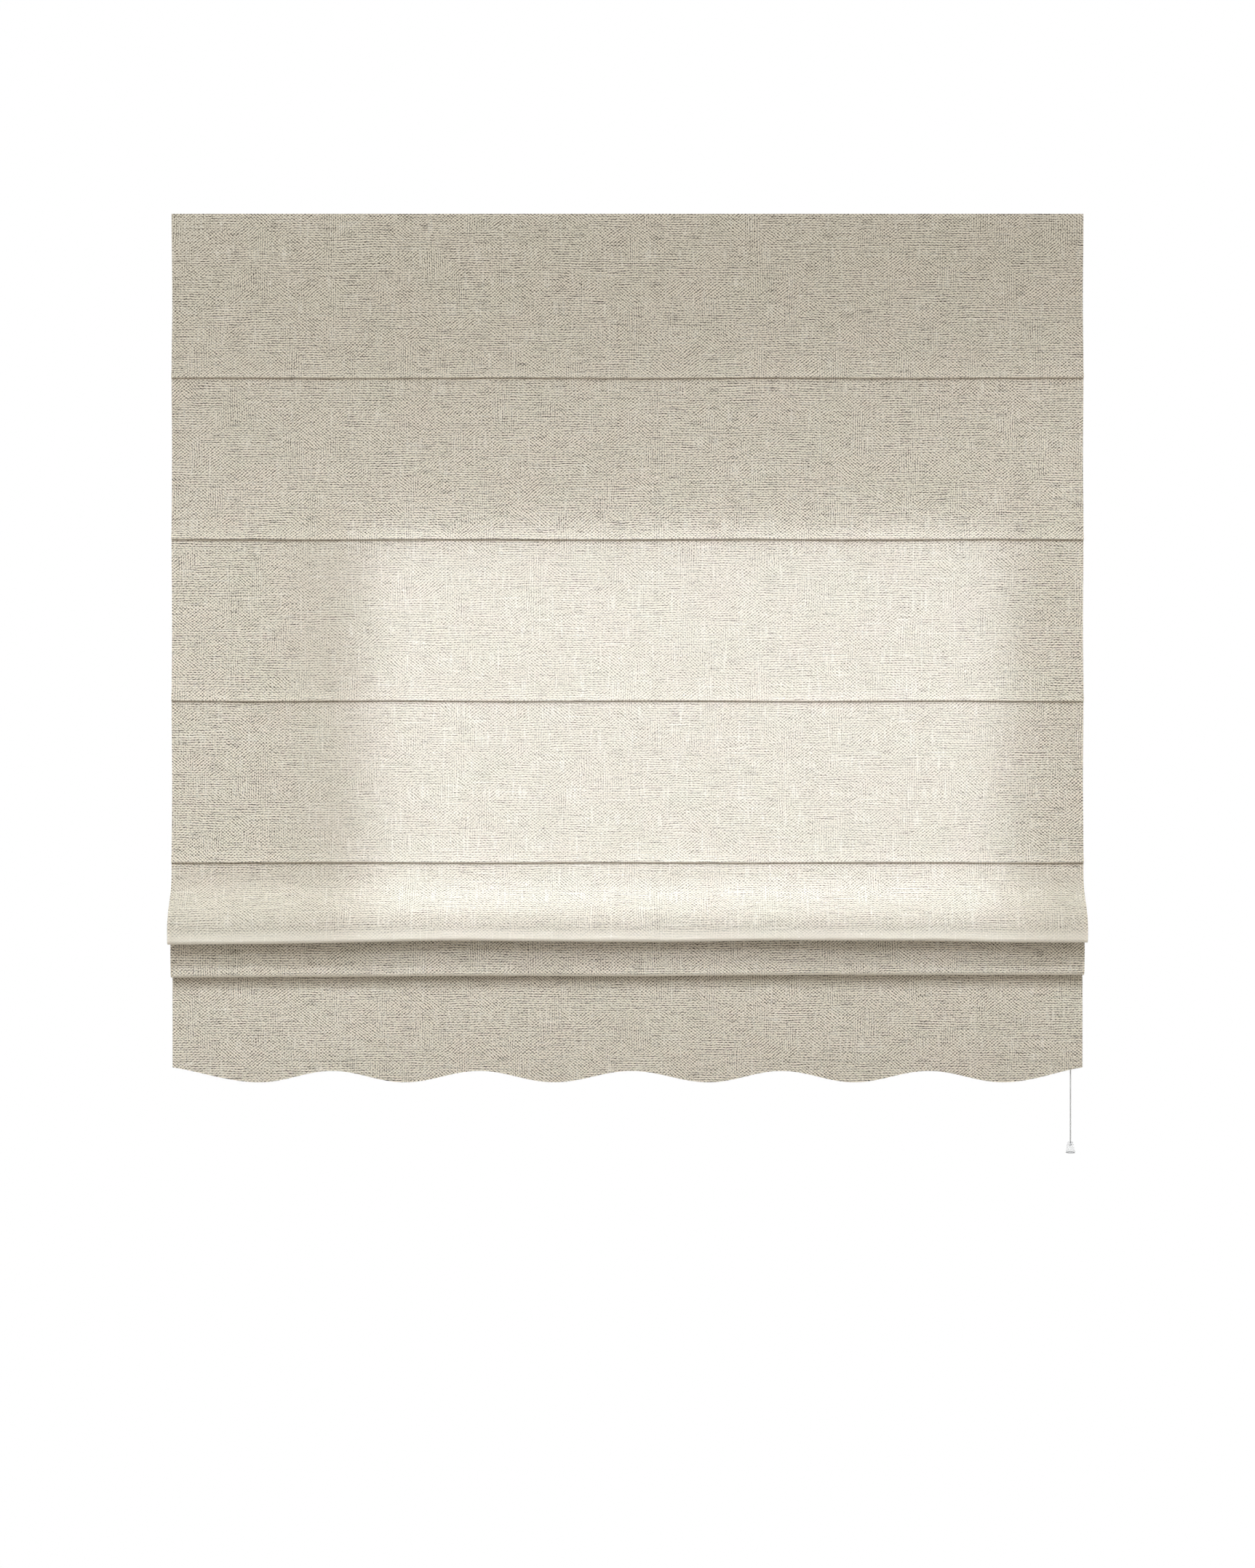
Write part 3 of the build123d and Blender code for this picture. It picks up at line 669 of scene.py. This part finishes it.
# One length of the cloth: the middle line carried across the width, then waisted, billowed and sagged by
# smooth waves of the place across and the drop, and given its thickness along the line's own normal.
# The plain numbers in a wave are its turns over the place and where it starts
def clothPiece(name, startAlong, endAlong):
    first, last = np.interp([startAlong, endAlong], fineAlong, rowCount)
    count = math.ceil(last - first) + 1
    s = np.interp(np.linspace(first, last, count), rowCount, fineAlong)[:, None]
    s[0], s[-1] = startAlong, endAlong
    ease = np.pi / 2 * cloth["columnEase"]
    x = cloth["half"] * np.sin(np.linspace(-ease, ease, cloth["columns"]))[None, :] / math.sin(ease)
    out = np.interp(s, clothAlong, clothLine[:, 0])
    drop = np.interp(s, clothAlong, clothLine[:, 1])
    step = 0.0002
    wayOut = np.interp(s + step, clothAlong, clothLine[:, 0]) - np.interp(s - step, clothAlong, clothLine[:, 0])
    wayDrop = np.interp(s + step, clothAlong, clothLine[:, 1]) - np.interp(s - step, clothAlong, clothLine[:, 1])
    size = np.hypot(wayOut, wayDrop)
    normalOut, normalUp = wayDrop / size, wayOut / size
    flat = s < rowFour
    firstTuck, panelTall = cloth["tucks"][0], cloth["panelTall"]
    panel = np.where(drop < firstTuck, drop / firstTuck, ((drop - firstTuck) % panelTall) / panelTall)
    swell = np.where(flat, np.sin(np.pi * np.clip(panel, 0, 1)) ** 2, 0)
    waist = cloth["waist"] * swell * (np.abs(x) / cloth["half"]) ** 3
    wide = x - np.sign(x) * waist
    billow = np.sin(6.1 * x + 1.7 + 3 * drop) * np.cos(2.3 * x - 11 * drop) + 0.5 * np.sin(13.7 * x - 8 * drop + 0.4)
    nearTuck = sum(hump(drop, tuck, cloth["tuckReach"]) for tuck in cloth["tucks"]) * flat
    ripple = np.sin(21 * x + 9 * panel) * 0.5 + np.sin(47 * x + 2.1) * 0.25
    out = out + cloth["billow"] * swell * billow + cloth["ripple"] * nearTuck * ripple
    drop = drop + cloth["tuckSag"] * nearTuck * np.sin(15 * x + 30 * s)
    frontFold = hump(s, lowFront, cloth["frontReach"])
    rearFold = hump(s, lowRear, cloth["rearReach"]) * (s > crownFive)
    drop = drop + frontFold * acrossCurve(cloth["frontSag"], x) + rearFold * acrossCurve(cloth["rearSag"], x)
    bulge, bulgePast, bulgeReach = cloth["bulge"]
    out = out - bulge * hump(s, lowFront + bulgePast, bulgeReach) * (s < crownFive)
    out = out + frontFold * cloth["frontWave"] * (np.sin(9.3 * x + 0.8) + 0.6 * np.sin(17 * x))
    # the skirt ends at the scalloped edge
    below = np.clip((s - skirtTop) / (clothAlong[-1] - skirtTop), 0, 1)
    scallop = below * (hemEdge(x) - cloth["hemDrop"])
    drop = drop + scallop
    puffed = np.sin(np.pi * np.clip(below / 0.86, 0, 1)) ** 2
    out = out - cloth["skirtBillow"] * puffed * (0.5 + 0.5 * np.sin(8.7 * x + 1.1))
    v = s + scallop
    edge = np.clip((below - 0.985) / 0.015, 0, 1)
    half = cloth["thick"] / 2 * (1 + 0.5 * edge)
    hem = np.clip((np.abs(x) - cloth["half"] + cloth["hemWidth"]) / 0.002, 0, 1) * np.clip((s - 0.04) / 0.004, 0, 1)
    hem = cloth["thick"] * cloth["hemThick"] * hem * (bendAt(s) < cloth["hemBend"])
    shape = np.broadcast_shapes(s.shape, x.shape)
    full = [np.broadcast_to(a, shape) for a in (wide, out, drop, normalOut, normalUp, half, hem, v)]
    wide, out, drop, normalOut, normalUp, half, hem, v = full
    front = np.stack([wide, out - normalOut * half, cloth["top"] - drop - normalUp * half], -1)
    back = np.stack([wide, out + normalOut * (half + hem), cloth["top"] - drop + normalUp * (half + hem)], -1)
    faces = shellFaces(*shape)
    piece = meshPiece(name, np.concatenate([front, back]), faces, linen, 50)
    uv = np.tile(np.stack([np.broadcast_to(x, shape), v], -1).reshape(-1, 2), (2, 1))
    layer = piece.data.uv_layers.new(name="cloth")
    layer.data.foreach_set("uv", uv[faces.ravel()].astype(np.float32).ravel())
    # pressed and rubbed cloth, calmer in weave, with a painted highlight where light catches the folds: a broad band
    # on the front fold, a narrow one on the rear fold, a trace at each tuck
    wearAndHighlight = hump(s, lowFront - 0.006, 0.0098, 4) + 0.7 * hump(s, lowRear - 0.002, 0.005, 4)
    wearAndHighlight = wearAndHighlight + 0.12 * sum(hump(s, tuckEdge - 0.0015, 0.0035, 4) for tuckEdge in tuckEdges)
    wearAndHighlight = np.broadcast_to(np.clip(wearAndHighlight, 0, 1), shape)
    seam = np.where(below > 0, drop - cloth["seamDrop"], 1.0)
    for label, values in (("fold", wearAndHighlight), ("seam", seam)):
        attribute = piece.data.attributes.new(label, "FLOAT", "POINT")
        attribute.data.foreach_set("value", np.tile(values.ravel(), 2).astype(np.float32))
    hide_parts("fabric")
    return piece


# The cloth in four lengths: the tucked panels ride on the head, the front fold rides on row 4, the rear
# fold's run rides on row 5, and the rest rides on the hem
travel = {joint["name"]: joint["range_m"][1] for joint in frame["joints"] if joint["name"] in ("lift", "row_4_rise")}
lift, rowRise = travel["lift"], travel["row_4_rise"]
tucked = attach(clothPiece("clothTucked", 0.0, rowFour), "head")
1 - rowRise / cloth["rowFour"]
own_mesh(tucked)
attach(clothPiece("clothFrontFold", rowFour, crownFive), "row_4")
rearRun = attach(clothPiece("clothRearRun", crownFive, rearSplit), "row_5")
rearTall = float(np.interp(rearSplit, fineAlong, fineDrop)) - cloth["crownFive"]
1 - (lift - rowRise) / rearTall
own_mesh(rearRun)
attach(clothPiece("clothSkirt", rearSplit, clothAlong[-1]), "hem")
print("cloth made")


# A cord's line: one open spline whose route points pull it, with a round section
cordDetail = {"round": 4, "steps": 10}


def cordCurve(name, points, radius):
    curve = bpy.data.curves.new(name, "CURVE")
    curve.dimensions = "3D"
    curve.bevel_depth = radius
    curve.bevel_resolution = cordDetail["round"]
    curve.use_fill_caps = True
    spline = curve.splines.new("NURBS")
    spline.points.add(len(points) - 1)
    spline.points.foreach_set("co", np.c_[np.array(points), np.ones(len(points))].ravel())
    spline.order_u = 3
    spline.use_endpoint_u = True
    spline.resolution_u = cordDetail["steps"]
    curve.materials.append(braid)
    piece = bpy.data.objects.new(name, curve)
    bpy.context.scene.collection.objects.link(piece)
    return piece


# The same cord as a mesh
def cordMesh(name, points, radius):
    line = cordCurve(name + "Line", points, radius)
    mesh = bpy.data.meshes.new_from_object(line)
    mesh.name = name
    bpy.data.objects.remove(line)
    piece = bpy.data.objects.new(name, mesh)
    bpy.context.scene.collection.objects.link(piece)
    return piece


# A tied knot: a ball whose radius swells in three lobes that twist round it
def knot(name, centre, radius):
    turn = np.linspace(0, 2 * np.pi, 29)[:-1][None, :]
    tilt = np.linspace(-np.pi / 2, np.pi / 2, 17)[:, None]
    swell = radius * (0.86 + 0.14 * np.cos(3 * turn + 4 * tilt) * np.cos(tilt))
    points = np.stack([swell * np.cos(tilt) * np.cos(turn), swell * np.cos(tilt) * np.sin(turn),
                       swell * np.sin(tilt) + 0 * turn], -1) + np.array(centre)
    ring = np.arange(points.shape[0] * points.shape[1]).reshape(points.shape[:2])
    onward = np.roll(ring, -1, axis=1)
    faces = np.stack([ring[:-1], onward[:-1], onward[1:], ring[1:]], -1).reshape(-1, 4)
    piece = meshPiece(name, points, faces, braid)
    weld = piece.modifiers.new("closePoles", "WELD")
    weld.merge_threshold = 0.00001
    return piece


# Lift cords: each drops to its knot, runs over its wheel and along the rail, and its tail comes down to the joiner
cords = {
    "radius": 0.0008,
    "across": {"left": -0.6, "mid": 0.0, "right": 0.6},
    "lane": {"left": -0.0188, "mid": -0.016, "right": -0.0132},
    "tail": 0.683,
    "run": 0.00245,
    "bendReach": 0.0109,
    "knotZ": -1.0711,
    "knotRadius": 0.0018,
    "hangZ": -0.0139,
    "hangMid": -0.5,
    "tailTop": -0.027,
    "tailMid": -0.27,
    "joinerTop": -0.519,
    "socket": 0.0079,
}
for name in columns:
    cordX, laneY, runZ = cords["across"][name], cords["lane"][name], cords["run"]
    tailX, reach = cords["tail"], cords["bendReach"]
    hangZ, knotZ, tailTop = cords["hangZ"], cords["knotZ"], cords["tailTop"]
    hangLine = [(cordX, laneY, z) for z in (hangZ, cords["hangMid"], knotZ)]
    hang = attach(cordMesh(f"liftDrop.{name}", hangLine, cords["radius"]), "head")
    1 - lift / (hangZ - knotZ)
    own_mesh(hang)
    route = [(cordX, hangZ), (cordX, runZ - reach), (cordX, runZ), (cordX + reach, runZ),
             (tailX - reach, runZ), (tailX, runZ), (tailX, runZ - reach), (tailX, tailTop)]
    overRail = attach(cordMesh(f"liftRun.{name}", [(x, laneY, z) for x, z in route], cords["radius"]), "head")
    tailFoot = cords["joinerTop"] - cords["socket"]
    tailLine = [(tailX, laneY, z) for z in (tailTop, cords["tailMid"], tailFoot)]
    tail = cordMesh(f"liftTail.{name}", tailLine, cords["radius"])
    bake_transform(tail)
    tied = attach(knot(f"liftKnot.{name}", (cordX, laneY, knotZ), cords["knotRadius"]), "hem")
    for piece in (hang, overRail, tail, tied):
        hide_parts(f"lift_cord_{name}")

# Pull cord: hangs straight under the bell's weight, with a knot inside the bell
pull = {
    "x": 0.683,
    "y": -0.016,
    "top": -0.5351,
    "exit": -0.543,
    "between": ((0.0, -0.8), (0.0003, -1.1)),
    "knotZ": -1.4108,
    "radius": 0.00105,
    "knotRadius": 0.0024,
}
pullX, pullY = pull["x"], pull["y"]
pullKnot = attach(knot("pullKnot", (pullX, pullY, pull["knotZ"]), pull["knotRadius"]), "pull")
pullLine = [(pullX + aside, pullY, z) for aside, z in ((0.0, pull["top"]), *pull["between"], (0.0, pull["knotZ"]))]
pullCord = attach(cordCurve("pullCord", pullLine, pull["radius"]), "pull")
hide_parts("pull_cord")
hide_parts("pull_cord")
print("cords made")

# Camera: straight on, level with the middle of the picture
view = {"distance": 3.8, "height": -0.8548, "lens": 56.8, "sensor": 36}
cameraData = bpy.data.cameras.new("camera")
cameraData.sensor_fit = "VERTICAL"
cameraData.sensor_height = view["sensor"]
cameraData.lens = view["lens"]
camera = bpy.data.objects.new("camera", cameraData)
camera.location = (0, cloth["flat"] - view["distance"], view["height"])
camera.rotation_euler = (math.pi / 2, 0, 0)
bpy.context.scene.collection.objects.link(camera)
bpy.context.scene.camera = camera

# Light: a broad soft lamp above and to one side, a weaker one low on the other, one behind for the back,
# a wash on the lower half, and a cooler narrow one that makes the bright field over the middle folds
lamps = {
    "key": {"at": (-1.3, -3.4, 1.9), "to": (0, 0, -0.7), "size": (2.4, 1.8), "watts": 79, "spread": 180,
            "colour": (0.905, 0.97, 1.0)},
    "low": {"at": (1.6, -2.6, -1.9), "to": (0, 0, -0.8), "size": (2.2, 1.6), "watts": 4, "spread": 180},
    "back": {"at": (0.8, 3.0, 1.1), "to": (0, 0, -0.7), "size": (2.6, 2.0), "watts": 48, "spread": 180},
    "wash": {"at": (0.1, -1.6, 1.4), "to": (0, 0, -0.90), "size": (1.7, 0.62), "watts": 1.76, "spread": 10,
             "colour": (0.90, 0.97, 1.0)},
    "field": {"at": (0.092, -1.736, 0.284), "to": (0.092, -0.04, -0.776), "size": (0.98, 0.52), "watts": 1.03,
              "spread": 4.6, "colour": (0.77, 0.83, 0.98)},
}
for lampName, lamp in lamps.items():
    lampData = bpy.data.lights.new(lampName, "AREA")
    lampData.shape = "RECTANGLE"
    lampData.size, lampData.size_y = lamp["size"]
    lampData.energy = lamp["watts"]
    lampData.spread = math.radians(lamp["spread"])
    lampData.color = lamp.get("colour", (1, 1, 1))
    lampObject = bpy.data.objects.new(lampName, lampData)
    aim = Vector(lamp["to"]) - Vector(lamp["at"])
    lampObject.rotation_euler = aim.to_track_quat("-Z", "Y").to_euler()
    lampObject.location = lamp["at"]
    lampObject.visible_camera = False
    bpy.context.scene.collection.objects.link(lampObject)

# World: an even warm grey light, seen as white by the camera, in gloss and through clear plastic
worldLook = {"level": 0.45, "colour": (1.0, 0.93, 0.85, 1)}
world = bpy.data.worlds.new("studio")
world.use_nodes = True
world.node_tree.nodes.clear()
bpy.context.scene.world = world
sky = Sock(world.node_tree)
rayKinds = ("Is Camera Ray", "Is Glossy Ray", "Is Transmission Ray")
rays = [sky.node("ShaderNodeLightPath", {}, {}, kind) for kind in rayKinds]
seen = sky.maths("MINIMUM", rays[0] + rays[1] + rays[2], 1.0)
soft = sky.node("ShaderNodeBackground", {}, {"Color": worldLook["colour"], "Strength": worldLook["level"]})
white = sky.node("ShaderNodeBackground", {}, {"Color": (1, 1, 1, 1), "Strength": 1.0})
sky.node("ShaderNodeOutputWorld", {}, {"Surface": sky.node("ShaderNodeMixShader", {}, {0: seen, 1: soft, 2: white})})

# Floor: a level pale sheet well below the blind, made paler still to the camera
floorLook = {
    "level": -2.42,
    "colour": screenColour(240, 240, 238),
    "shade": screenColour(236, 236, 234),
    "reach": (7.0, -7.0, 1.0),
    "points": 5,
    "paler": 0.72,
}
floorMaterial, floorStart = newMaterial("paleFloor")
floorTone = grain(placeOf(floorStart), (3, 3, 3), 3.0).tint(floorLook["colour"], floorLook["shade"])
floorSheet = principled(floorStart, Base_Color=floorTone, Roughness=0.8)
floorSeen = floorStart.node("ShaderNodeLightPath", {}, {}, "Is Camera Ray") * floorLook["paler"]
floorPale = floorStart.node("ShaderNodeEmission", {}, {"Color": (1, 1, 1, 1), "Strength": 1.0})
useShader(floorStart.node("ShaderNodeMixShader", {}, {0: floorSeen, 1: floorSheet, 2: floorPale}))
wideX, nearY, farY = floorLook["reach"]
floorSide = floorLook["points"]
floorGrid = np.stack(np.meshgrid(np.linspace(-wideX, wideX, floorSide), np.linspace(nearY, farY, floorSide)), -1)
floorPoints = np.concatenate([floorGrid, np.full((floorSide, floorSide, 1), floorLook["level"])], -1)
cell = np.arange(floorSide * floorSide).reshape(floorSide, floorSide)
floorFaces = np.stack([cell[:-1, :-1], cell[:-1, 1:], cell[1:, 1:], cell[1:, :-1]], -1).reshape(-1, 4)
floor = meshPiece("floor", floorPoints, floorFaces, floorMaterial)

bpy.context.scene.view_settings.view_transform = "Standard"
print("scene ready")
